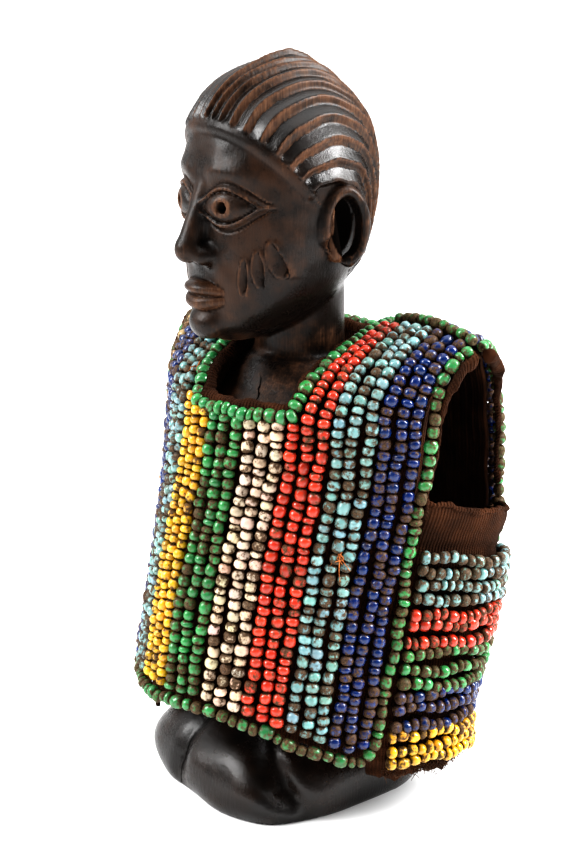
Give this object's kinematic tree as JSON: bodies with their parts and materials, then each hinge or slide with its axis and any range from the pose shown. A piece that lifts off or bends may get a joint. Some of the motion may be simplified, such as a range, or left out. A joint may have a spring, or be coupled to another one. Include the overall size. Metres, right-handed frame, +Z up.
{
  "type": "ibeji figure",
  "caption": "Carved dark wooden twin figure with stepped hair, wearing a stiff tunic of brown cloth covered with strings of coloured glass beads.",
  "frame": {"origin": "centre of the flat underside of the foot block", "axes": "+Z up along the figure, -Y the way the figure faces, +X towards the figure's left"},
  "size_m": [0.1417, 0.1231, 0.2575],
  "materials": {
    "wood": "dark, oiled and handled patina with red-brown wood in the cuts",
    "cloth": "worn brown plain-woven cotton",
    "bead_blue": "opaque glossy glass, grimy in the holes",
    "bead_lightblue": "opaque glossy glass, grimy in the holes",
    "bead_red": "opaque glossy glass, grimy in the holes",
    "bead_white": "opaque glossy glass, grimy in the holes",
    "bead_green": "opaque glossy glass, grimy in the holes",
    "bead_yellow": "opaque glossy glass, grimy in the holes",
    "bead_pale": "opaque glossy glass, grimy in the holes"
  },
  "bodies": {
    "root": {"beads_back_blue": "bead_blue", "beads_back_blue_far": "bead_blue", "beads_back_green": "bead_green", "beads_back_lightblue": "bead_lightblue", "beads_back_lightblue_far": "bead_lightblue", "beads_back_pale_far": "bead_pale", "beads_back_red": "bead_red", "beads_back_white": "bead_white", "beads_back_yellow": "bead_yellow", "beads_front_blue": "bead_blue", "beads_front_blue_far": "bead_blue", "beads_front_green": "bead_green", "beads_front_lightblue": "bead_lightblue", "beads_front_lightblue_far": "bead_lightblue", "beads_front_pale_far": "bead_pale", "beads_front_red": "bead_red", "beads_front_white": "bead_white", "beads_front_yellow": "bead_yellow", "beads_gusset_left_blue": "bead_blue", "beads_gusset_left_green": "bead_green", "beads_gusset_left_lightblue": "bead_lightblue", "beads_gusset_left_red": "bead_red", "beads_gusset_left_yellow": "bead_yellow", "beads_gusset_right_blue": "bead_blue", "beads_gusset_right_green": "bead_green", "beads_gusset_right_lightblue": "bead_lightblue", "beads_gusset_right_red": "bead_red", "beads_gusset_right_yellow": "bead_yellow", "cloth_back": "cloth", "cloth_front": "cloth", "cloth_gusset_left": "cloth", "cloth_gusset_right": "cloth", "edging_back": "bead_green", "edging_front": "bead_green", "edging_neck": "bead_green", "edging_shoulder_left": "bead_green", "edging_shoulder_right": "bead_green", "figure": "wood"}
  },
  "joints": []
}
